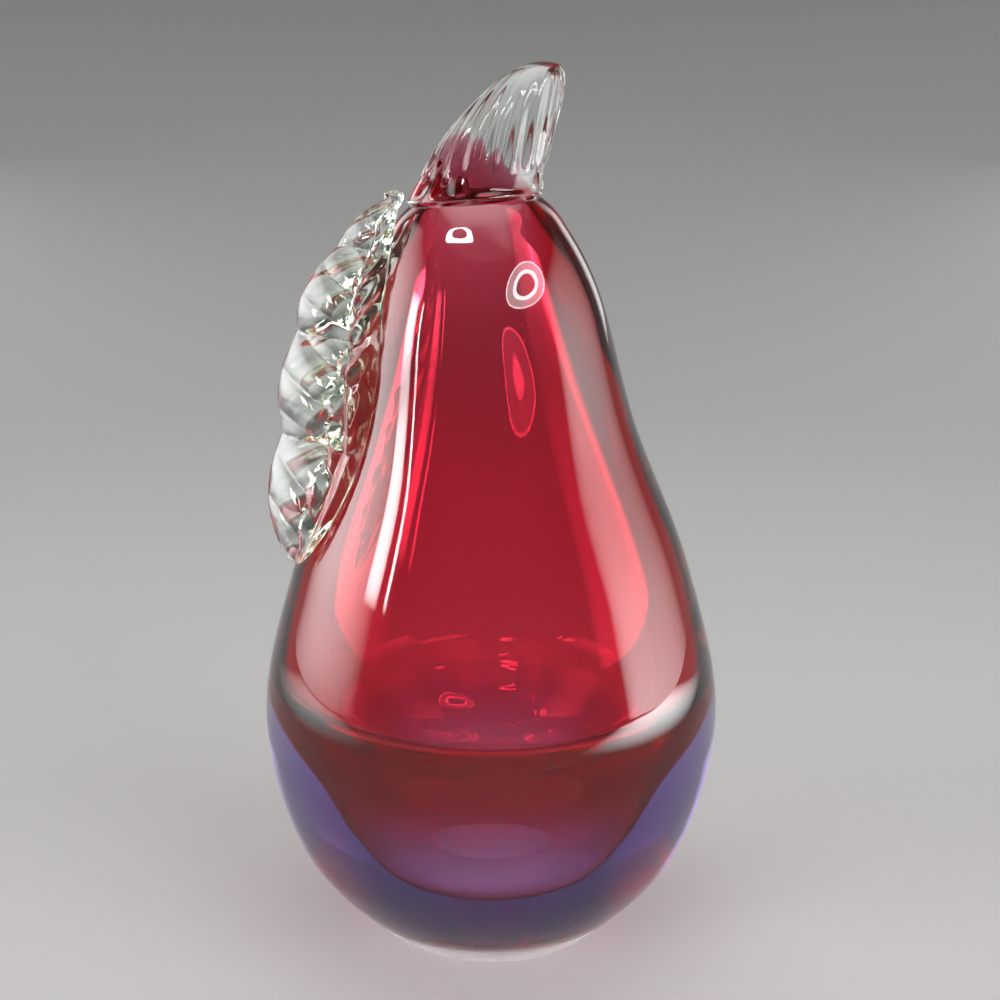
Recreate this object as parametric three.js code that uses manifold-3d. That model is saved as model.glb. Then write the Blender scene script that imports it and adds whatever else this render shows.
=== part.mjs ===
// A hollow glass pear, built up in the order a glass worker gathers it: a ruby bubble, a blue cup round
// its narrow nose, a heavy clear casing over both, then a ribbed stem and a crimped leaf put on hot.
// Millimetres, +Z up. The origin is the centre of the ground flat that the pear stands on.
// The front faces -Y, the leaf is on the -X flank and the stem leans towards +X.

import * as THREE from 'three';
import { mergeVertices } from 'three/addons/utils/BufferGeometryUtils.js';
import Module from 'manifold-3d';

// Driving sizes of the whole part
const bellyRadius = 39.6;
const bodyHeight = 130.2;
const stemHeight = 21.8;
const leafLength = 60.1;

// Outer outline of the pear: radii of its stations as shares of the belly's, heights of the body's
const baseFlatRadius = 0.34 * bellyRadius;
const keelRadius = 0.543 * bellyRadius;
const hipRadius = 0.864 * bellyRadius;
const flankRadius = 0.864 * bellyRadius;
const waistRadius = 0.636 * bellyRadius;
const neckRadius = 0.5 * bellyRadius;
const shoulderRadius = 0.359 * bellyRadius;
const neckTopRadius = 0.263 * bellyRadius;
const keelHeight = 0.034 * bodyHeight;
const hipHeight = 0.15 * bodyHeight;
const bellyHeight = 0.328 * bodyHeight;
const flankHeight = 0.522 * bodyHeight;
const waistHeight = 0.7065 * bodyHeight;
const neckHeight = 0.8755 * bodyHeight;
const shoulderHeight = 0.9675 * bodyHeight;

// The hand-made neck bends sideways from a little above the belly, and carries the stem's seat with it
const bendStartHeight = 0.4225 * bodyHeight;
const neckLean = -2.6;

// The ruby lining's narrow nose in the heavy base: shares of the belly's radius and the body's height
const noseKneeRadius = 0.24 * bellyRadius;
const noseLowRadius = 0.379 * bellyRadius;
const noseSideRadius = 0.49 * bellyRadius;
const noseShelfRadius = 0.657 * bellyRadius;
const noseTopRadius = 0.783 * bellyRadius;
const noseFloorHeight = 0.133 * bodyHeight;
const noseKneeHeight = 0.149 * bodyHeight;
const noseLowHeight = 0.192 * bodyHeight;
const noseSideHeight = 0.246 * bodyHeight;
const noseShelfHeight = 0.3035 * bodyHeight;
const noseTopHeight = 0.3687 * bodyHeight;

// Glass that covers the lining sideways, at the outer stations above its nose
const flankCover = 7;
const waistCover = 6.2;
const neckCover = 8.3;
const shoulderCover = 5.4;
const neckTopCover = 2.9;

// The blue cup's outside, in the same shares
const cupLowRadius = 0.417 * bellyRadius;
const cupHipRadius = 0.682 * bellyRadius;
const cupSideRadius = 0.77 * bellyRadius;
const cupFloorHeight = 0.0806 * bodyHeight;
const cupLowHeight = 0.096 * bodyHeight;
const cupHipHeight = 0.1536 * bodyHeight;
const cupSideHeight = 0.2304 * bodyHeight;
const cupRimHeight = 0.3072 * bodyHeight;

// Walls of the coloured layers and the seam that is kept between two gathers
const rubyWall = 2;
const rubyFloorWall = 0.5;
const rubyNeckWall = 1.2;
const cupRimWall = 0.5;
const seam = 0.3;

// The stem: its plug closes the blow hole, its foot covers the neck's top, and it draws in as it rises
const plugDepth = 3;
const footOverhang = 0.9;
const footRadius = neckTopRadius + footOverhang;
const stemLowRadius = 0.903 * footRadius;
const stemMiddleRadius = 0.805 * footRadius;
const stemUpperRadius = 0.602 * footRadius;
const stemTipRadius = 0.354 * footRadius;
const footHeight = 0.174 * stemHeight;
const stemMiddleHeight = 0.468 * stemHeight;
const stemUpperHeight = 0.789 * stemHeight;
const stemTipHeight = 0.954 * stemHeight;
const stemTipLean = 10.8;
const stemLeanPower = 1.35;
const ribCount = 18;
const ribDepth = 0.4;
const ribTwist = 0.5;

// The leaf: its tail starts beside the stem's foot and its tip lies on the flank
const leafTailRise = 1.4;
const leafFlare = 11.6;
const leafLift = 1.6;
const leafTailLift = 3.4;
const leafTailShare = 0.25;
const leafThickness = 7;
const leafMarginThickness = 3.6;
const leafLobes = 4;
const leafLobeCrowding = 0.75;
const leafLobeSlant = -0.06;
const leafCrimp = 0.6;
const leafScallop = 0.22;
const leafTaper = 1.25;
const leafTailBreadth = 0.24;
const leafTailBluntness = 1.5;
const leafBodyEdgeAngle = THREE.MathUtils.degToRad(49);
const leafMidribAngle = THREE.MathUtils.degToRad(66);
const leafFreeEdgeAngle = THREE.MathUtils.degToRad(83);

// Fineness of the meshes
const roundSegments = 36;
const outerSteps = 4;
const innerSteps = 3;
const stepsPerRib = 4;
const leafSegmentsAround = 24;
const leafSegmentsAlong = 36;
const slopeStep = 0.01;
const mergeTolerance = 1e-4;

const wasm = await Module();
wasm.setup();

const station = (radius, height) => new THREE.Vector2(radius, height);

// Points of a smooth curve through stations, square to the axis where an end lies on it
function smoothOutline(stations, steps) {
  const mirrored = (point) => station(-point.x, point.y);
  const startsOnAxis = stations[0].x === 0;
  const through = [...stations];
  if (stations.at(-1).x === 0) through.push(mirrored(stations.at(-2)));
  if (startsOnAxis) through.unshift(mirrored(stations[1]));
  const points = new THREE.SplineCurve(through).getPoints(steps * (through.length - 1));
  const first = startsOnAxis ? steps : 0;
  const outline = points.slice(first, first + steps * (stations.length - 1) + 1);
  if (startsOnAxis) outline[0].x = 0;
  if (stations.at(-1).x === 0) outline.at(-1).x = 0;
  return outline;
}

// Moves an outline along its normals, away from the bubble; the top end stays at its height
function offsetOutline(points, distanceAt) {
  return points.map((point, i) => {
    const before = points[Math.max(i - 1, 0)];
    const after = points[Math.min(i + 1, points.length - 1)];
    const outward = station(after.y - before.y, before.x - after.x).normalize();
    if (point.x === 0) outward.set(0, -1);
    if (i === points.length - 1) outward.set(1, 0);
    return point.clone().addScaledVector(outward, distanceAt(point.y));
  });
}

// Radius of an outline at a height, on the straight stretch between its two nearest points
function radiusAt(points, height) {
  const above = points.findIndex((point) => point.y >= height);
  if (above < 0) return points.at(-1).x;
  if (above === 0) return points[0].x;
  const low = points[above - 1];
  const high = points[above];
  return THREE.MathUtils.mapLinear(height, low.y, high.y, low.x, high.x);
}

function outlineBelow(points, height) {
  return [...points.filter((point) => point.y < height), station(radiusAt(points, height), height)];
}

function outlineAbove(points, height) {
  return [station(radiusAt(points, height), height), ...points.filter((point) => point.y > height)];
}

// The bend of the neck: how far its centre line has drifted at a height, and how steeply it drifts
const bentShare = (height) => THREE.MathUtils.clamp(
  (height - bendStartHeight) / (bodyHeight - bendStartHeight),
  0,
  1,
);
const leanAt = (height) => neckLean * bentShare(height) ** 2;
const slopeAt = (height) => (2 * neckLean * bentShare(height)) / (bodyHeight - bendStartHeight);

// Sets each vertex by a rule, then merges shared vertices and drops the slivers that this leaves
function reshape(geometry, rule) {
  const position = geometry.attributes.position;
  const vertex = new THREE.Vector3();
  for (let i = 0; i < position.count; i += 1) {
    vertex.fromBufferAttribute(position, i);
    rule(vertex, geometry.attributes.uv.getX(i), geometry.attributes.uv.getY(i));
    position.setXYZ(i, vertex.x, vertex.y, vertex.z);
  }
  geometry.deleteAttribute('normal');
  geometry.deleteAttribute('uv');
  const merged = mergeVertices(geometry, mergeTolerance);
  const kept = [];
  for (let i = 0; i < merged.index.count; i += 3) {
    const [a, b, c] = [0, 1, 2].map((corner) => merged.index.getX(i + corner));
    if (a !== b && b !== c && c !== a) kept.push(a, b, c);
  }
  merged.setIndex(kept);
  return merged;
}

// Turns an outline about +Z and lets it follow the bend of the neck
function turned(outline) {
  const geometry = new THREE.LatheGeometry(outline, roundSegments).rotateX(Math.PI / 2);
  return reshape(geometry, (vertex) => {
    const { x, y, z } = vertex;
    vertex.set(x + leanAt(z), y, z - slopeAt(z) * x);
  });
}

function toSolid(geometry) {
  const vertProperties = new Float32Array(geometry.attributes.position.array);
  const triVerts = new Uint32Array(geometry.index.array);
  return new wasm.Manifold(new wasm.Mesh({ numProp: 3, vertProperties, triVerts }));
}

function toGeometry(solid) {
  const { vertProperties, triVerts } = solid.getMesh();
  const geometry = new THREE.BufferGeometry();
  geometry.setAttribute('position', new THREE.BufferAttribute(vertProperties, 3));
  geometry.setIndex(new THREE.BufferAttribute(triVerts, 1));
  return geometry;
}

// Outline of the pear's outside, from the edge of the base flat to the edge of the neck's top
const pearOutline = smoothOutline([
  station(baseFlatRadius, 0),
  station(keelRadius, keelHeight),
  station(hipRadius, hipHeight),
  station(bellyRadius, bellyHeight),
  station(flankRadius, flankHeight),
  station(waistRadius, waistHeight),
  station(neckRadius, neckHeight),
  station(shoulderRadius, shoulderHeight),
  station(neckTopRadius, bodyHeight),
], outerSteps);

// Outline of the ruby lining's outside, which every other inner surface follows
const liningOutline = smoothOutline([
  station(0, noseFloorHeight),
  station(noseKneeRadius, noseKneeHeight),
  station(noseLowRadius, noseLowHeight),
  station(noseSideRadius, noseSideHeight),
  station(noseShelfRadius, noseShelfHeight),
  station(noseTopRadius, noseTopHeight),
  station(flankRadius - flankCover, flankHeight),
  station(waistRadius - waistCover, waistHeight),
  station(neckRadius - neckCover, neckHeight),
  station(shoulderRadius - shoulderCover, shoulderHeight),
  station(neckTopRadius - neckTopCover, bodyHeight),
], innerSteps);

// Outline that the gathers over the lining keep to, a seam away from it
const overLining = offsetOutline(liningOutline, () => seam);

// Outline of the blue cup's outside: a thick bowl round the nose that thins out to its rim
const cupOutline = smoothOutline([
  station(0, cupFloorHeight),
  station(cupLowRadius, cupLowHeight),
  station(cupHipRadius, cupHipHeight),
  station(cupSideRadius, cupSideHeight),
  station(radiusAt(overLining, cupRimHeight) + cupRimWall, cupRimHeight),
], innerSteps);

// The ruby thins towards the bubble's floor, which stretched most, and towards the neck
function rubyWallAt(height) {
  const up = THREE.MathUtils.smoothstep(height, noseFloorHeight, cupRimHeight);
  const pastWaist = THREE.MathUtils.smoothstep(height, waistHeight, bodyHeight);
  return THREE.MathUtils.lerp(rubyFloorWall, rubyWall, up) - (rubyWall - rubyNeckWall) * pastWaist;
}

function rubyLining() {
  const bubble = offsetOutline(liningOutline, (height) => -rubyWallAt(height));
  return turned([...liningOutline, ...bubble.reverse()]);
}

function blueCup() {
  const inside = outlineBelow(overLining, cupRimHeight);
  return turned([...cupOutline, ...inside.reverse()]);
}

function clearCasing() {
  const overCup = offsetOutline(cupOutline, () => seam);
  const overRim = station(overCup.at(-1).x, cupRimHeight + seam);
  const inside = [...overCup, overRim, ...outlineAbove(overLining, overRim.y)];
  return turned([station(0, 0), ...pearOutline, ...inside.reverse()]);
}

// The stem is turned upright, then ribbed and drawn over to its lean
function stem() {
  const plugRadius = neckTopRadius - neckTopCover - rubyNeckWall - seam;
  const side = smoothOutline([
    station(footRadius, seam),
    station(stemLowRadius, footHeight),
    station(stemMiddleRadius, stemMiddleHeight),
    station(stemUpperRadius, stemUpperHeight),
    station(stemTipRadius, stemTipHeight),
    station(0, stemHeight),
  ], innerSteps);
  const outline = [
    station(0, -plugDepth),
    station(plugRadius, -plugDepth),
    station(plugRadius, seam),
    ...side,
  ];
  const geometry = new THREE.LatheGeometry(outline, ribCount * stepsPerRib).rotateX(Math.PI / 2);
  return reshape(geometry, (vertex) => {
    const ribbed = THREE.MathUtils.clamp((vertex.z - footHeight) / (stemTipHeight - footHeight), 0, 1);
    const angle = Math.atan2(vertex.y, vertex.x) + ribTwist * ribbed;
    const swell = vertex.z > footHeight ? ribDepth * Math.cos(ribCount * angle) * (1 - ribbed) : 0;
    const radius = Math.hypot(vertex.x, vertex.y);
    const scale = radius > 0 ? (radius + swell) / radius : 1;
    const lean = stemTipLean * Math.max(0, vertex.z / stemHeight) ** stemLeanPower;
    const { x, y, z } = vertex;
    vertex.set(x * scale + lean + neckLean, y * scale, bodyHeight + z - slopeAt(bodyHeight) * x);
  });
}

// Point of the leaf's middle sheet at a height: across runs from -1, on the body, to 1, the free edge
function leafSheetPoint(height, across, breadth, lift, flare) {
  const edgeAngle = across < 0 ? leafBodyEdgeAngle : leafFreeEdgeAngle;
  const reach = Math.abs(across) * breadth;
  const angle = THREE.MathUtils.lerp(leafMidribAngle, edgeAngle, reach);
  const standoff = across < 0 ? lift * (1 - reach) : lift + (flare - lift) * reach;
  const radius = radiusAt(pearOutline, height) + standoff;
  return station(leanAt(height) - radius * Math.sin(angle), -radius * Math.cos(angle));
}

// The leaf is a closed skin round that sheet, with pillow lobes pinched into its front
function leafBlank() {
  const geometry = new THREE.SphereGeometry(1, leafSegmentsAround, leafSegmentsAlong);
  return reshape(geometry, (vertex, aroundShare, upShare) => {
    const polar = Math.PI * (1 - upShare);
    const along = (1 - Math.cos(polar)) / 2;
    const taper = Math.max(0, Math.sin(polar));
    const tail = along < leafTailShare ? Math.min(leafTailBreadth, leafTailBluntness * taper) : 0;
    const breadth = Math.max(taper ** leafTaper, tail);
    const around = 2 * Math.PI * aroundShare;
    const across = Math.cos(around);
    const side = Math.sin(around);
    const height = bodyHeight + leafTailRise - leafLength * along;
    const lobePhase = leafLobes * along ** leafLobeCrowding - leafLobeSlant * across;
    const lobe = Math.abs(Math.sin(Math.PI * lobePhase));
    const lift = THREE.MathUtils.lerp(leafTailLift, leafLift, Math.min(1, along / leafTailShare));
    const flare = leafFlare * (1 - leafScallop * (1 - lobe));
    const middle = leafSheetPoint(height, across, breadth, lift, flare);
    const ahead = leafSheetPoint(height, across + slopeStep, breadth, lift, flare);
    const behind = leafSheetPoint(height, across - slopeStep, breadth, lift, flare);
    const front = station(ahead.y - behind.y, behind.x - ahead.x).normalize();
    const thickness = THREE.MathUtils.lerp(leafThickness, leafMarginThickness, Math.abs(across));
    const pinch = side > 0 ? 1 - leafCrimp * (1 - lobe) : 1;
    middle.addScaledVector(front, -0.5 * thickness * breadth * side * pinch);
    vertex.set(middle.x, middle.y, height);
  });
}

// The blank is cut back from the casing and from the stem's foot, so that it seats against both
function leaf() {
  const casingCut = [
    station(0, 0),
    ...offsetOutline(pearOutline, () => seam),
    station(neckTopRadius + seam, bodyHeight + seam),
    station(0, bodyHeight + seam),
  ];
  const footCut = [
    station(0, shoulderHeight),
    station(footRadius + seam, shoulderHeight),
    station(footRadius + seam, bodyHeight + stemHeight),
    station(0, bodyHeight + stemHeight),
  ];
  const solid = toSolid(leafBlank()).subtract(toSolid(turned(casingCut))).subtract(toSolid(turned(footCut)));
  return toGeometry(solid);
}

// Fire-polished glass of a colour; the opacity tells the deep colours from the clear gathers
const glass = (color, opacity) => new THREE.MeshStandardMaterial({
  color,
  opacity,
  transparent: true,
  roughness: 0.04,
  metalness: 0,
});

function piece(name, geometry, material) {
  const mesh = new THREE.Mesh(geometry, material);
  mesh.name = name;
  return mesh;
}

const pear = new THREE.Group();
pear.add(
  piece('ruby_lining', rubyLining(), glass(0xa3162e, 0.75)),
  piece('blue_cup', blueCup(), glass(0x2a3490, 0.7)),
  piece('clear_casing', clearCasing(), glass(0xe2e8e0, 0.35)),
  piece('stem', stem(), glass(0xdfe6dc, 0.35)),
  piece('leaf', leaf(), glass(0xdde6d8, 0.35)),
);

export default pear;
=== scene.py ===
# %% [markdown]
# # A glass pear, dressed over its CAD frame
# The pear is built up as a glass worker gathers it: a ruby bubble, a blue cup over the lower part of
# it, a thick clear casing over both, and then a ribbed stem and a crimped leaf that are put on hot.
# Clear glass shows every layer, so all five solids of the frame are modelled again here with fine,
# smooth walls, and a thread of red glass is added in the stem's foot as a painted reflection of the ruby.
# The imported CAD model gives the frame: metres, +Z up, with the origin under the middle of the base.

# %% Load the frame
import bisect
import math

import bmesh
import bpy
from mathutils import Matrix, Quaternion, Vector
from mathutils.bvhtree import BVHTree


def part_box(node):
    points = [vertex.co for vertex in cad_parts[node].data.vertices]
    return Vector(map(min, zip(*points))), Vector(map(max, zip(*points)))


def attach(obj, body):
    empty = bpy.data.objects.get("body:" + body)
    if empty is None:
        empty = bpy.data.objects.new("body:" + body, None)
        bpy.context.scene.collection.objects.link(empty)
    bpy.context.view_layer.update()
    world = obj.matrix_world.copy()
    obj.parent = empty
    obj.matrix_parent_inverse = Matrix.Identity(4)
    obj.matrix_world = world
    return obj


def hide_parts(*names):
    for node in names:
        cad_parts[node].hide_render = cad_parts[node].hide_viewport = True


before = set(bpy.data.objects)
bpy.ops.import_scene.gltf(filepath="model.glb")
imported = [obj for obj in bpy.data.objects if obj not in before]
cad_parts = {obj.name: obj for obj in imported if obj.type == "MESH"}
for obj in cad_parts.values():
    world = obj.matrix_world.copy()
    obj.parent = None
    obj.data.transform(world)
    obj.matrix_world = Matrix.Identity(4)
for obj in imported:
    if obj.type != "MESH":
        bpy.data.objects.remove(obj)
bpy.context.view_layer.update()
scene = bpy.context.scene

# %% [markdown]
# ## The pear's outline
# A blown pear is a solid of revolution, so one smooth line through a few stations gives its outside.
# The stations are the CAD model's: radii as shares of the belly's radius and heights as shares of
# the body's height. A spline passes through each station with no corner, as hot glass does.

# %% Smooth lines
MM = 0.001


def smooth_line(stations, steps=14):
    """Points of a smooth curve through (radius, height) stations, square to the axis at its ends."""
    through = [Vector(s) for s in stations]

    def beyond(end, inner):
        return Vector((-inner.x, inner.y)) if end.x == 0 else end

    through = [beyond(through[0], through[1]), *through, beyond(through[-1], through[-2])]
    line = []
    for before, a, b, after in zip(through, through[1:], through[2:], through[3:]):
        leave, arrive = (b - before) / 2, (after - a) / 2
        for step in range(steps):
            t = step / steps
            bend = (2 * a - 2 * b + leave + arrive) * t**3
            line.append(bend + (3 * b - 3 * a - 2 * leave - arrive) * t**2 + leave * t + a)
    return [*line, through[-2]]


def radius_on(line, height):
    """Radius of a line at a height; the line must rise from its first point to its last."""
    above = bisect.bisect_left(line, height, lo=1, hi=len(line) - 1, key=lambda point: point.y)
    low, high = line[above - 1], line[above]
    return low.x + (high.x - low.x) * (height - low.y) / (high.y - low.y)


# %% Outline of the pear
belly_share = 0.9985  # keeps the smooth belly just inside the CAD model's
belly_radius = belly_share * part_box("clear_casing")[1].x
body_height = 130.2 * MM
outer_shares = [
    (0.34, 0),
    (0.543, 0.034),
    (0.864, 0.15),
    (1, 0.328),
    (0.864, 0.522),
    (0.636, 0.7065),
    (0.5, 0.8755),
    (0.359, 0.9675),
    (0.263, 1),
]
pear_line = smooth_line([(r * belly_radius, z * body_height) for r, z in outer_shares])
print("pear outline:", len(pear_line), "points, widest", round(max(p.x for p in pear_line) / MM, 2), "mm")

# %% [markdown]
# ## Spinning a wall
# Every gathered layer is a line spun round the upright axis. The neck of the real pear drifted
# sideways while it was soft, so each spun layer is then bent by the same rule. A point attribute
# called "fused" marks the walls where one layer of glass has melted into the next: light passes
# such a wall without bending, and only walls that meet air may bend or mirror it.

# %% Bend of the neck
bend_start = 0.4225 * body_height
neck_lean = -2.6 * MM


def bent_share(height):
    """How far up the bend a height lies, from 0 to 1."""
    return min(max((height - bend_start) / (body_height - bend_start), 0), 1)


def lean_at(height):
    """How far the pear's middle has drifted sideways at a height."""
    return neck_lean * bent_share(height) ** 2


def slope_at(height):
    """How steeply that drift grows."""
    return 2 * neck_lean * bent_share(height) / (body_height - bend_start)


def bend(point):
    """Where a point of an upright layer lies on the bent pear."""
    x, y, z = point
    return Vector((x + lean_at(z), y, z - slope_at(z) * x))


print("the neck drifts", round(lean_at(body_height) / MM, 2), "mm sideways")

# %% Spin and finish helpers
merge_distance = 1e-6
sharp_angle = math.radians(50)


def spun(line, fused, steps=144):
    """A closed skin: the line turned about +Z, with its fused marks carried round."""
    bm = bmesh.new()
    mark = bm.verts.layers.float.new("fused")
    verts = [bm.verts.new((p.x, 0, p.y)) for p in line]
    for vert, value in zip(verts, fused):
        vert[mark] = value
    edges = [bm.edges.new(pair) for pair in zip(verts, verts[1:])]
    bmesh.ops.spin(
        bm,
        geom=verts + edges,
        cent=(0, 0, 0),
        axis=(0, 0, 1),
        dvec=(0, 0, 0),
        angle=math.tau,
        steps=steps,
        use_merge=True,
    )
    bmesh.ops.remove_doubles(bm, verts=bm.verts, dist=merge_distance)
    return bm


def smooth_object(bm, name):
    """Puts a bmesh into the scene as a smooth object at the origin."""
    mesh = bpy.data.meshes.new(name)
    bm.to_mesh(mesh)
    mesh.shade_smooth()
    made = bpy.data.objects.new(name, mesh)
    scene.collection.objects.link(made)
    return made


def finished(bm, name, slot):
    """Turns a bmesh into a smooth piece that rides on the pear and stands for its CAD node."""
    bmesh.ops.recalc_face_normals(bm, faces=bm.faces)
    piece = smooth_object(bm, name)
    piece.data.set_sharp_from_angle(angle=sharp_angle)
    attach(piece, "root")
    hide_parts(slot)
    print(name, "has", len(piece.data.polygons), "faces")
    return piece


# %% [markdown]
# ## Lines of the inner layers
# The ruby bubble follows the outside at the thickness of clear glass that covers it, and ends below
# in a round nose. The ruby thins out in the nose, because the bubble's floor stretched most as it
# was blown, and a little in the neck. The blue cup is a bowl that meets the ruby at its rim.

# %% Line and wall of the ruby
nose = [(0, 17.3), (9.5, 19.4), (15, 25), (19.4, 32), (26, 39.5), (31, 48)]  # radius, height in mm
covers = [7, 6.2, 8.3, 5.4, 2.9]  # mm of clear glass over the ruby, from the waist to the neck's top
lining_stations = [(radius * MM, height * MM) for radius, height in nose]
for (radius, height), cover in zip(outer_shares[-len(covers):], covers):
    lining_stations.append((radius * belly_radius - cover * MM, height * body_height))
lining_line = smooth_line(lining_stations)

nose_wall = 0.22 * MM
body_wall = 2 * MM
neck_thinning = 0.8 * MM
thin_below, full_above = 22 * MM, 40 * MM
neck_start = 0.7 * body_height


def eased(low, high, value):
    """Rises smoothly from 0 at low to 1 at high."""
    share = min(max((value - low) / (high - low), 0), 1)
    return share * share * (3 - 2 * share)


def ruby_wall(height):
    """Thickness of the ruby glass at a height."""
    full = nose_wall + (body_wall - nose_wall) * eased(thin_below, full_above, height)
    return full - neck_thinning * eased(neck_start, body_height, height)


print("ruby outline:", len(lining_line), "points")
print("ruby wall at the neck's top:", round(ruby_wall(body_height) / MM, 2), "mm")

# %% Line of the blue cup
seam = 0.02 * MM  # between fused walls, which may not share a face
cup_rim = 40 * MM
rim_radius = radius_on(lining_line, cup_rim)
bowl = [(0, 10.5), (16.5, 12.5), (27, 20), (30.5, 30)]  # radius, height in mm
cup_stations = [(radius * MM, height * MM) for radius, height in bowl]
cup_line = smooth_line([*cup_stations, (rim_radius + 2 * seam, cup_rim)])
print("cup outline:", len(cup_line), "points, rim radius", round(rim_radius / MM, 2), "mm")

# %% [markdown]
# ## The stem
# The stem is a gather of clear glass dropped on the neck to close the blow hole, pulled up, and
# drawn through a ribbed mould. It could be a swept curve, but its foot and its plug are round, so it
# is spun upright, the ribs are pressed in by moving its points, and the whole is then leaned over.

# %% Outline of the stem
stem_height = 21.74 * MM
neck_top_radius = outer_shares[-1][0] * belly_radius
foot_radius = neck_top_radius + 0.9 * MM
plug_radius = lining_line[-1].x - ruby_wall(body_height) - seam
plug_depth = 3 * MM
plug_bevel = 0.2 * MM


def stem_line():
    """The outline from the plug's middle, over the seat on the neck, to the tip; and its fused marks."""
    shares = [(1, 0), (0.903, 0.174), (0.805, 0.468), (0.602, 0.789), (0.354, 0.954), (0, 1)]
    side = smooth_line([(r * foot_radius, z * stem_height + seam) for r, z in shares], steps=12)
    low = plug_bevel - plug_depth
    plug = [(0, -plug_depth), (0.9 * plug_radius, -plug_depth), (plug_radius, low)]
    seat = [(plug_radius, low + seam), (plug_radius, seam), (neck_top_radius, seam)]
    lip = [(neck_top_radius + seam, seam)]
    line = [Vector(p) for p in plug + seat + lip] + side
    fused = [0] * len(plug) + [1] * len(seat) + [0] * (len(lip) + len(side))
    return line, fused


print("plug radius", round(plug_radius / MM, 2), "mm, foot radius", round(foot_radius / MM, 2), "mm")

# %% Stem
rib_count = 18
points_per_rib = 10
rib_depth = 0.4 * MM
rib_start, rib_span = 0.174, 0.78  # shares of the stem's height
rib_onset = 8
rib_twist = 0.5
lump_count, lump_wander = 7, 2
lump_depth = 0.35 * MM
lump_rise, lump_fall = (0.2 * MM, 1.2 * MM), (1.8 * MM, 4.5 * MM)  # heights above the neck
stem_lean, lean_power = 10.8 * MM, 1.35


def stem_swell(angle, z):
    """Ribs from the mould, which fade towards the tip, and small melted lumps round the foot."""
    ribbed = min(max((z / stem_height - rib_start) / rib_span, 0), 1)
    turned = angle + rib_twist * ribbed
    ribs = rib_depth * math.cos(rib_count * turned) * (1 - ribbed) * min(1, rib_onset * ribbed)
    melted = eased(*lump_rise, z) * (1 - eased(*lump_fall, z))
    lumps = lump_depth * melted * math.sin(lump_count * turned + lump_wander * math.sin(3 * turned))
    return ribs + lumps


def ribbed_stem():
    line, fused = stem_line()
    bm = spun(line, fused, rib_count * points_per_rib)
    for vert in bm.verts:
        x, y, z = vert.co
        radius = math.hypot(x, y)
        swell = stem_swell(math.atan2(y, x), z)
        scale = (radius + swell) / radius if radius > merge_distance else 1
        lean = stem_lean * max(0, z / stem_height) ** lean_power
        tilt = slope_at(body_height) * x
        vert.co = (x * scale + lean + neck_lean, y * scale, body_height + z - tilt)
    return finished(bm, "ribbed_stem", "stem")


stem = ribbed_stem()

# %% [markdown]
# ## The leaf
# The leaf is a strip of clear glass laid on the flank and crimped with ridged tongs, so one half
# lies on the body and the other stands free in four plump lobes. A sphere's poles make its tail and
# its tip: every point of it is laid on a curved sheet and lifted off by the leaf's thickness. That
# keeps the skin closed, where a bent grid would need its edges sewn up.

# %% Sheet of the leaf
leaf_length = 60.1 * MM
leaf_top = body_height + 1.4 * MM
middle_angle = math.radians(66)  # round the pear, from the front to the left
body_angle, free_angle = math.radians(49), math.radians(83)


def mix(a, b, share):
    return a + (b - a) * share


def pear_radius(height):
    return radius_on(pear_line, min(height, body_height))


def leaf_sheet(height, across, breadth, lift, flare):
    """Point of the leaf's middle sheet: across runs from -1, on the body, to 1, the free edge."""
    reach = abs(across) * breadth
    angle = mix(middle_angle, body_angle if across < 0 else free_angle, reach)
    standoff = lift * (1 - reach) if across < 0 else mix(lift, flare, reach)
    radius = pear_radius(height) + standoff
    return Vector((lean_at(height) - radius * math.sin(angle), -radius * math.cos(angle)))


print("the leaf is", round(leaf_length / MM, 1), "mm long")

# %% Lobes and creases of the leaf
lobe_count, lobe_growth, lobe_slant = 4, 0.75, 0.06
lobe_roundness, lobe_bulge = 0.6, 0.12
midrib_place, midrib_drift, drift_span = 0.12, 0.4, (0.35, 0.85)
free_span = (-0.2, 0.25)  # where the leaf leaves the body, measured across it from the midrib
groove_depth, groove_width = 0.5, 0.14
ridge_depth, ridge_count, ridge_slant = 0.42, 2.6, 0.9
ridge_roundness, ridge_level = 0.6, 0.6
stripe_depth, stripe_count, stripe_slant, stripe_end = 0.2, 2.5, 1.5, (0.4, 0.6)
back_depth, back_slant = 0.4, 0.7
front_crimp, back_crimp, body_crimp = 0.85, 0.5, 0.35


def front_detail(phase, along, across, beside, free):
    """Ridges on the free half, stripes on the half that lies on the body, and the midrib's groove."""
    fold = abs(math.sin(math.pi * (ridge_count * phase + ridge_slant * across)))
    ridges = ridge_depth * (fold**ridge_roundness - ridge_level) * free
    wave = math.sin(math.tau * (stripe_count * phase - stripe_slant * across))
    stripes = stripe_depth * wave * (1 - free) * (1 - eased(*stripe_end, along))
    groove = groove_depth * math.exp(-((beside / groove_width) ** 2))
    return ridges + stripes - groove


def leaf_swell(along, across, side):
    """The lobe at a place, and how plump the leaf is there as a share of its thickness."""
    phase = lobe_count * along**lobe_growth + lobe_slant * across
    lobe = abs(math.sin(math.pi * phase))
    beside = across + midrib_place + midrib_drift * eased(*drift_span, along)
    free = eased(*free_span, beside)
    crimp = (front_crimp if side > 0 else back_crimp) * (1 - lobe**lobe_roundness)
    if side > 0:
        detail = front_detail(phase, along, across, beside, free)
    else:
        detail = back_depth * math.sin(math.tau * (ridge_count * phase - back_slant * across)) * free
    return lobe, 1 - crimp * mix(body_crimp, 1, free) + detail + lobe_bulge * lobe * free


print("the leaf has", lobe_count, "lobes")

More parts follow.
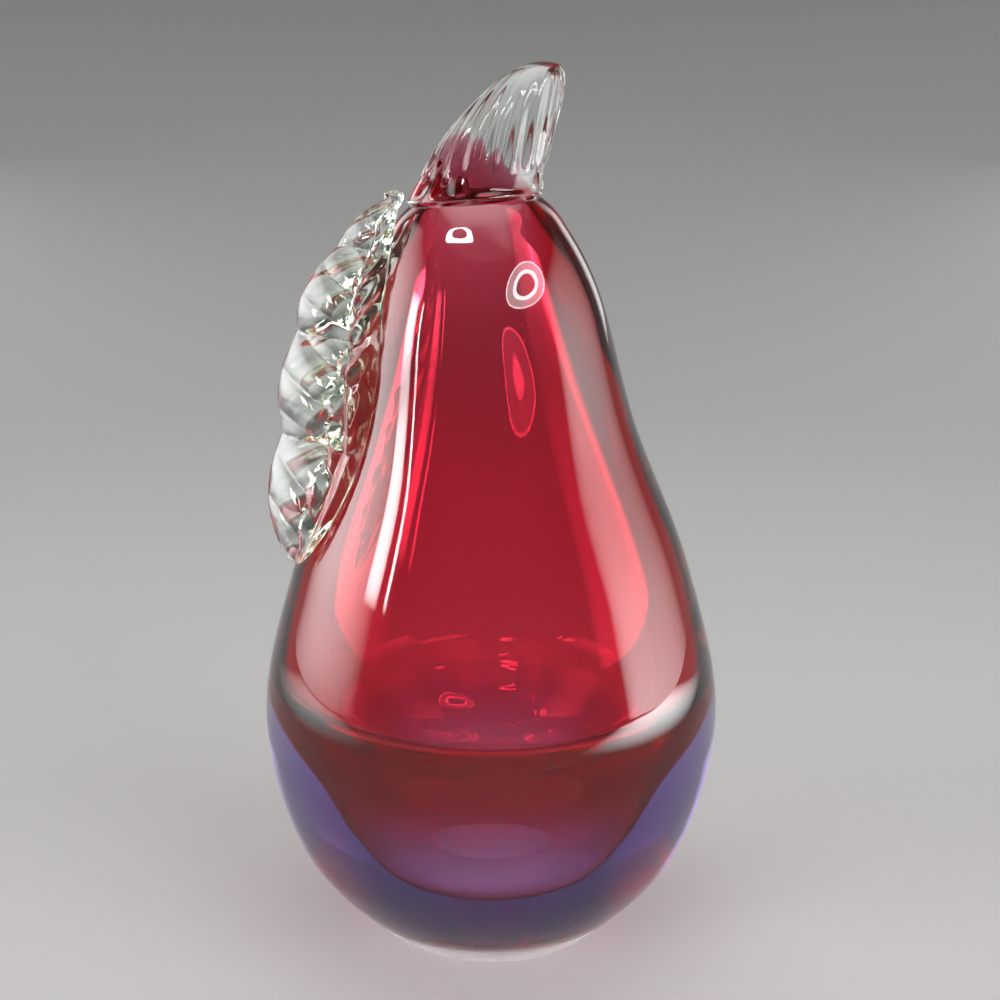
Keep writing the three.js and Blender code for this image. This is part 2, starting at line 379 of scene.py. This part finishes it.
# %% Leaf
leaf_flare, notch_depth = 11.6 * MM, 0.13
tail_lift, blade_lift, tail_share = 3.4 * MM, 1.6 * MM, 0.25
middle_thickness, edge_thickness = 7 * MM, 3.6 * MM
slimness = 1.25
knob_width, knob_rise, knob_end = 0.24, 0.006, (0.03, 0.1)
leaf_sides, leaf_rings = 160, 260
small_step = 0.01


def leaf_point(along, breadth, across, side):
    """Point of the leaf's skin: on the sheet, moved out along the sheet's own normal."""
    height = leaf_top - leaf_length * along
    lobe, swell = leaf_swell(along, across, side)
    lift = mix(tail_lift, blade_lift, min(1, along / tail_share))
    flare = leaf_flare * (1 - notch_depth * (1 - lobe))
    middle = leaf_sheet(height, across, breadth, lift, flare)
    ahead = leaf_sheet(height, across + small_step, breadth, lift, flare)
    behind = leaf_sheet(height, across - small_step, breadth, lift, flare)
    front = Vector((ahead.y - behind.y, behind.x - ahead.x)).normalized()
    thickness = mix(middle_thickness, edge_thickness, abs(across))
    place = middle - front * 0.5 * thickness * breadth * side * swell
    return Vector((place.x, place.y, height))


def crimped_leaf():
    bm = bmesh.new()
    mark = bm.verts.layers.float.new("fused")
    bmesh.ops.create_uvsphere(bm, u_segments=leaf_sides, v_segments=leaf_rings, radius=1)
    for vert in bm.verts:
        polar = math.acos(min(max(vert.co.z, -1), 1))
        around = math.atan2(vert.co.y, vert.co.x)
        along = (1 - math.cos(polar)) / 2
        knob = knob_width * (1 - eased(*knob_end, along)) * min(1, math.sqrt(along / knob_rise))
        breadth = max(math.sin(polar) ** slimness, knob)
        vert.co = leaf_point(along, breadth, math.cos(around), math.sin(around))
        x, y, height = vert.co
        off = Vector((x - lean_at(height), y))
        least = pear_radius(height) + seam
        if off.length < least:
            off = off.normalized() * least
            vert.co = (off.x + lean_at(height), off.y, height)
            vert[mark] = 1
    return bm


leaf_bm = crimped_leaf()
leaf_tree = BVHTree.FromBMesh(leaf_bm)
leaf = finished(leaf_bm, "crimped_leaf", "leaf")

# %% [markdown]
# ## The casing
# The casing is the thick clear glass that gives the pear its shape, ground flat and satin underneath.
# Its outline goes up the outside, over the neck's top and down again round the layers inside, so it is
# one closed skin and needs no boolean cut. Where the leaf lies on it the casing is marked fused as
# well, and a second attribute called "ground" marks the foot.

# %% Casing
ground_full, ground_none = 6 * MM, 9.5 * MM
leaf_touch = 0.08 * MM


def offset_line(line, distance_at):
    """Moves a line along its normals, outwards for a positive distance."""
    moved = []
    for i, point in enumerate(line):
        before, after = line[max(i - 1, 0)], line[min(i + 1, len(line) - 1)]
        along = (after - before).normalized()
        outward = Vector((along.y, -along.x))
        if point.x == 0:
            outward = Vector((0, -1))
        if i == len(line) - 1:
            outward = Vector((1, 0))
        moved.append(point + outward * distance_at(point.y))
    return moved


def clear_casing():
    over_cup = offset_line(cup_line, lambda height: seam)
    over_lining = [p for p in offset_line(lining_line, lambda height: 3 * seam) if p.y > cup_rim + seam]
    inside = [*over_cup, *over_lining]
    inside.reverse()
    rim = Vector((neck_top_radius - seam, body_height))
    line = [Vector((0, 0)), *pear_line, rim, *inside]
    fused = [0] * (len(pear_line) + 1) + [1] * (len(inside) + 1)
    bm = spun(line, fused)
    mark = bm.verts.layers.float["fused"]
    ground = bm.verts.layers.float.new("ground")
    for vert in bm.verts:
        vert[ground] = 1 - eased(ground_full, ground_none, vert.co.z)
        vert.co = bend(vert.co)
        near = leaf_tree.find_nearest(vert.co, leaf_touch)
        if near[0] is not None:
            vert[mark] = 1
    return finished(bm, "pear_casing", "clear_casing")


casing = clear_casing()

# %% [markdown]
# ## The ruby lining
# The first gather is ruby glass blown into a bubble, and the clear glass goes over it. Its outer wall
# is fused all over. Its inner wall meets the air of the bubble, so it mirrors and bends light, apart
# from the top, where the stem's plug has melted into it.

# %% Ruby lining
def ruby_lining():
    bubble = offset_line(lining_line, lambda height: -ruby_wall(height))
    bubble.reverse()
    line = [*lining_line, *bubble]
    plugged = body_height - plug_depth
    fused = [1] * len(lining_line) + [1 if p.y > plugged else 0 for p in bubble]
    bm = spun(line, fused)
    for vert in bm.verts:
        vert.co = bend(vert.co)
    return finished(bm, "ruby_bubble", "ruby_lining")


ruby = ruby_lining()

# %% [markdown]
# ## The red tail in the stem
# The ruby's reflection in the stem's foot is painted in as red glass, which shows as a red glow
# there. It is a small cone spun from one line, inside the stem's own glass.

# %% Red tail, a painted reflection of the ruby
tail_drift = -2 * MM


# A cone of red glass in the stem's foot: a painted reflection of the ruby below it.
def red_reflection_tail():
    plug = [(0, -2.9), (6, -2.9), (6, -0.1)]  # radius, height above the neck in mm
    pulled = [(7.3, 0.4), (6.2, 3), (4.2, 6.5), (0, 9.5)]
    line = [Vector(p) * MM for p in plug] + smooth_line([(r * MM, z * MM) for r, z in pulled], steps=10)
    bm = spun(line, [0] * len(line), steps=96)
    for vert in bm.verts:
        x, y, z = vert.co
        drawn = max(0, z / stem_height)
        tilt = slope_at(body_height) * x
        vert.co = (x + neck_lean + tail_drift * drawn, y, body_height + z - tilt)
    return finished(bm, "red_reflection_tail", "ruby_lining")


tail = red_reflection_tail()

# %% [markdown]
# ## The blue cup
# A second gather of blue glass wraps the lower part of the ruby, and the two together look purple.
# The cup's bowl and the ruby's own nose give its two walls, so that the blue fills all the space
# between them and runs out to a thin rim.

# %% Blue cup
def blue_cup():
    covered = [p for p in lining_line if p.y < cup_rim]
    inside = offset_line(covered, lambda height: seam)
    inside.reverse()
    line = [*cup_line, *inside]
    return finished(spun(line, [0] * len(line)), "cobalt_cup", "blue_cup")


cup = blue_cup()

# %% [markdown]
# ## Shader sums
# Node trees are easier to read as sums. This small class wraps a socket: plus, minus, times and
# power add Math nodes, and its node method adds any other node with its settings and its inputs.

# %% Shader sums
class Flow:
    """One output of a shader tree, which can take part in Python sums."""

    def __init__(self, tree, socket=None):
        self.tree = tree
        self.socket = socket

    def node(self, kind, settings=None, inputs=None, output=0):
        made = self.tree.nodes.new(kind)
        for name, value in (settings or {}).items():
            if name == "stops":
                stops = made.color_ramp.elements
                stops.remove(stops[1])
                for place, colour in value:
                    stop = stops[0] if place == 0 else stops.new(place)
                    stop.color = (*colour, 1)
            else:
                setattr(made, name, value)
        for name, value in (inputs or {}).items():
            if isinstance(value, Flow):
                self.tree.links.new(value.socket, made.inputs[name])
            else:
                made.inputs[name].default_value = value
        return Flow(self.tree, made.outputs[output] if made.outputs else None)

    def sum(self, operation, first, second):
        return self.node("ShaderNodeMath", {"operation": operation}, {0: first, 1: second})

    def __add__(self, other):
        return self.sum("ADD", self, other)

    def __sub__(self, other):
        return self.sum("SUBTRACT", self, other)

    def __rsub__(self, other):
        return self.sum("SUBTRACT", other, self)

    def __mul__(self, other):
        return self.sum("MULTIPLY", self, other)

    def __truediv__(self, other):
        return self.sum("DIVIDE", self, other)

    def __pow__(self, other):
        return self.sum("POWER", self, other)

    def __abs__(self):
        return self.sum("ABSOLUTE", self, 0.0)

    __radd__ = __add__
    __rmul__ = __mul__


def new_material(name):
    """An empty material, and a start for its sums."""
    material = bpy.data.materials.new(name)
    material.use_nodes = True
    material.node_tree.nodes.clear()
    return material, Flow(material.node_tree)


# %% [markdown]
# ## Glass
# Real coloured glass is tinted all through, so the colour is a Volume Absorption, which deepens with
# the way that light travels in it. The surface is a clear Principled shader with full transmission.
# Its Alpha is 0 on the fused walls, and soft noise in the bump gives the waviness of hand work. The
# ground foot is rough, and part of the light passes it straight, as through fine satin.

# %% Glass
glass_ior = 1.5
buried_ior = 1.0  # the cup and the tail lie in other glass, so light passes their walls straight
bump_height = 1 * MM
cord_scale = 45.0
cord_tints = [(0, (0.94, 0.97, 0.94)), (0.7, (1, 1, 1))]
satin_roughness = 0.45
satin_pass = 0.65


def glass(name, passed, density, waviness=0.03, wave_scale=60.0, ior=glass_ior):
    """Wavy glass: passed is the tint of the light that comes through, density how strong it is."""
    material, flow = new_material(name)
    place = flow.node("ShaderNodeTexCoord", output="Object")
    waves = flow.node("ShaderNodeTexNoise", inputs={"Vector": place, "Scale": wave_scale, "Detail": 2.0})
    bump = flow.node(
        "ShaderNodeBump", inputs={"Strength": waviness, "Distance": bump_height, "Height": waves}
    )
    cords = flow.node("ShaderNodeTexNoise", inputs={"Vector": place, "Scale": cord_scale, "Detail": 4.0})
    tint = flow.node("ShaderNodeValToRGB", {"stops": cord_tints}, {"Fac": cords})
    fused = flow.node("ShaderNodeAttribute", {"attribute_name": "fused"}, output="Fac")
    ground = flow.node("ShaderNodeAttribute", {"attribute_name": "ground"}, output="Fac")
    surface = flow.node(
        "ShaderNodeBsdfPrincipled",
        inputs={
            "Base Color": tint,
            "Roughness": ground * satin_roughness,
            "IOR": ior,
            "Alpha": (1 - fused) * (1 - ground * satin_pass),
            "Transmission Weight": 1.0,
            "Normal": bump,
        },
    )
    inside = flow.node("ShaderNodeVolumeAbsorption", inputs={"Color": (*passed, 1), "Density": density})
    flow.node("ShaderNodeOutputMaterial", inputs={"Surface": surface, "Volume": inside})
    return material


# %% [markdown]
# ## Finishing the pieces
# The clear glass is faintly green, the leaf more so because its colour shows in thick folds, and the
# ruby is so strong that two millimetres of it are red. Clear glass gathers light as a lens does,
# which a short render shows only as a dark shadow, so the casing and the cup let the lamps' light
# through to the floor, and the ruby keeps the soft shadow.

# %% Finish of each piece
clear_tint = (0.6, 0.85, 0.65)
finishes = [
    (casing, glass("clear_casing_glass", clear_tint, 8.0, 0.05)),
    (stem, glass("clear_stem_glass", clear_tint, 8.0, 0.05, 150.0)),
    (leaf, glass("clear_leaf_glass", (0.55, 0.85, 0.45), 42.0, 0.1, 200.0)),
    (ruby, glass("ruby_glass", (0.945, 0.063, 0.295), 950.0)),
    # painted reflection: the tail's red glass stands for the ruby's reflection in the stem's foot
    (tail, glass("red_reflection_tail_glass", (0.8, 0.1, 0.3), 250.0, ior=buried_ior)),
    (cup, glass("cobalt_glass", (0.4, 0.15, 0.7), 56.0, ior=buried_ior)),
]
for piece, material in finishes:
    piece.data.materials.append(material)
    print(piece.name, "is made of", material.name)
for piece in (casing, cup):
    piece.visible_shadow = False

# %% [markdown]
# ## The floor
# Glass only shows what is round it, so the set matters as much as the shader. A pale floor curves up
# into a round backdrop with no corner, with painted shade that makes its paper darker with height, in
# place of light that falls off, so that the glass gets a soft outline. The paper has no gloss, because
# it would mirror the lamps' panels as hard lines.

# %% Floor and backdrop
wall_radius, curve_radius, wall_height = 1.3, 0.7, 1.6
arc_steps = 12
floor_drop = 0.2 * MM
# painted shade: the paper's tones grow darker with height, in place of light falling off up the backdrop
painted_shade_tones = [(0, (0.43, 0.43, 0.425)), (0.35, (0.28, 0.28, 0.285)), (0.7, (0.19, 0.19, 0.195))]


def pale_paper():
    material, flow = new_material("pale_paper")
    place = flow.node("ShaderNodeTexCoord", output="Object")
    height = flow.node("ShaderNodeSeparateXYZ", inputs={"Vector": place}, output="Z")
    # the painted shade, darker with height
    fade = flow.node("ShaderNodeValToRGB", {"stops": painted_shade_tones}, {"Fac": height})
    matt = flow.node(
        "ShaderNodeBsdfPrincipled", inputs={"Base Color": fade, "Roughness": 0.9, "Specular IOR Level": 0.0}
    )
    flow.node("ShaderNodeOutputMaterial", inputs={"Surface": matt})
    return material


def backdrop():
    flat = wall_radius - curve_radius
    line = [Vector((0, 0)), Vector((flat, 0))]
    for i in range(1, arc_steps + 1):
        turn = math.pi / 2 * i / arc_steps
        line.append(Vector((flat + curve_radius * math.sin(turn), curve_radius * (1 - math.cos(turn)))))
    line.append(Vector((wall_radius, wall_height)))
    bm = spun(line, [0] * len(line), steps=96)
    bmesh.ops.translate(bm, verts=bm.verts, vec=(0, 0, -floor_drop))
    bmesh.ops.reverse_faces(bm, faces=bm.faces)
    made = smooth_object(bm, "backdrop")
    made.data.materials.append(pale_paper())
    return made


studio = backdrop()
print("the backdrop is", studio.dimensions.x, "m across")

# %% [markdown]
# ## Lamps
# The gleams on glass are pictures of the lamps, so the shape of a lamp counts. Blender's own area
# lamps are evenly bright, and here each lamp is a flat panel whose glow fades to its edges by a small
# sum. Light passes the panels freely, they shine on one side only, and the camera doesn't see them.

# %% Glowing panels
def glow(name, size, strength, shape):
    """A lamp's face. The shape works on x and y from -1 to 1 across the panel."""
    material, flow = new_material(name)
    place = flow.node("ShaderNodeTexCoord", output="Object")
    x = flow.node("ShaderNodeSeparateXYZ", inputs={"Vector": place}, output="X") / (size[0] / 2)
    y = flow.node("ShaderNodeSeparateXYZ", inputs={"Vector": place}, output="Y") / (size[1] / 2)
    front = 1 - flow.node("ShaderNodeNewGeometry", output="Backfacing")
    shine = flow.node("ShaderNodeEmission", inputs={"Color": shape(x, y) * front, "Strength": strength})
    open_air = flow.node("ShaderNodeBsdfTransparent")
    both = flow.node("ShaderNodeAddShader", inputs={0: open_air, 1: shine})
    flow.node("ShaderNodeOutputMaterial", inputs={"Surface": both})
    return material


def panel(name, place, turn, size, strength, shape):
    """A flat glowing panel that the camera doesn't see; it shines along its own +Z."""
    bm = bmesh.new()
    bmesh.ops.create_grid(bm, x_segments=1, y_segments=1, size=0.5)
    bmesh.ops.scale(bm, vec=(size[0], size[1], 1), verts=bm.verts)
    mesh = bpy.data.meshes.new(name)
    bm.to_mesh(mesh)
    mesh.materials.append(glow(name, size, strength, shape))
    made = bpy.data.objects.new(name, mesh)
    made.location = place
    made.rotation_euler = turn
    made.visible_camera = False
    scene.collection.objects.link(made)
    print(name, "is", size, "m, strength", strength)
    return made


# %% Shapes of light
window_low = 0.35


def softbox(edge):
    """Bright in the middle and fading to the sides; a higher edge keeps it bright for longer."""
    return lambda x, y: (1 - abs(x) ** edge) * (1 - abs(y) ** edge)


def ring(profile):
    """An oval lamp: the profile gives its brightness from its middle, at 0, to its rim, at 1."""

    def shape(x, y):
        radius = (x**2 + y**2) ** 0.5
        stops = [(place, (level, level, level)) for place, level in profile]
        return radius.node("ShaderNodeValToRGB", {"stops": stops}, {"Fac": radius})

    return shape


def window_light(x, y):
    """Brightest along the window's front edge and low down."""
    forward = x / 2 + 0.5
    lower = 0.5 - y / 2
    return forward * (1 - forward**12) * (lower + window_low) * (1 - abs(y) ** 8)


def card_light(x, y):
    """Grows quickly away from the pear, then stays bright to the card's far end."""
    away = x / 2 + 0.5
    return (1 - abs(y) ** 2) * (1 - away**30) * (1 - (1 - away) ** 3)


double_ring = [(0, 0.03), (0.44, 0.03), (0.48, 1), (0.6, 1)]
double_ring += [(0.64, 0.22), (0.92, 0.22), (0.94, 0.8), (0.98, 0.8), (1, 0)]
single_ring = [(0, 0), (0.5, 0), (0.55, 1), (0.95, 1), (1, 0)]

# %% Aiming the lamps
aim_height = 80 * MM
card_lift = 2 * MM


def direction(azimuth, elevation):
    """Unit vector from the pear; azimuth 0 is the camera's side and 90 is to its right."""
    a, e = math.radians(azimuth), math.radians(elevation)
    return Vector((math.sin(a) * math.cos(e), -math.cos(a) * math.cos(e), math.sin(e)))


def lamp(name, azimuth, elevation, distance, size, strength, shape, roll=0):
    """A panel that is aimed at the pear's middle and may be rolled in its own plane."""
    towards = direction(azimuth, elevation)
    aim = (-towards).to_track_quat("Z", "Y") @ Quaternion((0, 0, 1), math.radians(roll))
    place = Vector((0, 0, aim_height)) + towards * distance
    return panel(name, place, aim.to_euler(), size, strength, shape)


def floor_card(name, azimuth, near, size, strength):
    """A panel that lies on the floor, from near the pear outwards, and isn't seen through the glass."""
    place = direction(azimuth, 0) * (near + size[0] / 2) + Vector((0, 0, card_lift))
    turn = (0, 0, math.radians(azimuth - 90))
    made = panel(name, place, turn, size, strength, card_light)
    made.visible_transmission = False
    return made


# %% [markdown]
# ## Where the lamps stand
# Two strips on the left give the long streaks on the flank, and two rings give the oval gleams near
# the neck. A tall window on the right, a fill on the left and a card on the floor beside each one
# give the pale veils on the belly. They meet the floor, so that no dark gap is mirrored between them.
# Two rim lamps stand behind, and one wide lamp overhead lights the floor.

# %% Lamps for the gleams
lamp("strip_left", -70, 19, 0.7, (0.12, 0.24), 20, softbox(4))
lamp("strip_left_thin", -60, 19, 0.7, (0.026, 0.22), 24, softbox(4))
lamp("ring_right", 49, 38.5, 0.6, (0.44, 0.17), 24, ring(double_ring), roll=-4)
lamp("ring_top", -35, 55.6, 0.7, (0.33, 0.05), 30, ring(single_ring), roll=-16)

# %% Lamps for the veils and the floor
window_right = lamp("window_right", 96, 12, 0.6, (0.66, 0.57), 8.5, window_light)
fill_left = lamp("fill_left", -96, 15, 0.6, (0.68, 0.6), 7, softbox(2))
for made in (window_right, fill_left):
    made.visible_diffuse = False
card_near = 0.22
floor_card("card_right", 82, card_near, (0.41, 0.46), 15)
floor_card("card_left", -92, card_near, (0.41, 0.4), 3.5)
for side in (-1, 1):
    rim = lamp("rim", side * 148, 14, 1, (0.3, 0.9), 2.5, softbox(2))
    rim.visible_transmission = False
lamp("overhead", 0, 88, 1.2, (1.4, 1.4), 2.9, softbox(4))

# %% [markdown]
# ## The air of the studio
# An even grey all round fills the shadows, as the white walls of a studio do.

# %% World
air_grey = (0.5, 0.5, 0.5, 1)
air_strength = 0.6
world = bpy.data.worlds.new("studio_air")
scene.world = world
world.use_nodes = True
air = world.node_tree.nodes["Background"]
air.inputs["Color"].default_value = air_grey
air.inputs["Strength"].default_value = air_strength
print("the studio's air has a strength of", air_strength)

# %% [markdown]
# ## The camera
# The photograph was taken from close by and a little above, so the camera stands near with a 54 mm
# lens on a square frame and looks down about twelve degrees. Light crosses many walls of glass on
# its way, so a path may bounce more often than Blender's default allows.

# %% Camera
look_down = 12.34
glass_bounces = 40
lens = bpy.data.cameras.new("photo_camera")
lens.sensor_width = 36
lens.lens = 54
lens.clip_start = 10 * MM
camera = bpy.data.objects.new("photo_camera", lens)
camera.location = (1.55 * MM, -252.8 * MM, 134.5 * MM)
camera.rotation_euler = (math.radians(90 - look_down), 0, 0)
scene.collection.objects.link(camera)
scene.camera = camera
scene.view_settings.view_transform = "Standard"
scene.cycles.max_bounces = glass_bounces
scene.cycles.transmission_bounces = glass_bounces
scene.cycles.glossy_bounces = 16
scene.cycles.transparent_max_bounces = 64
print("camera at", [round(c, 4) for c in camera.location], "looking down", look_down, "degrees")
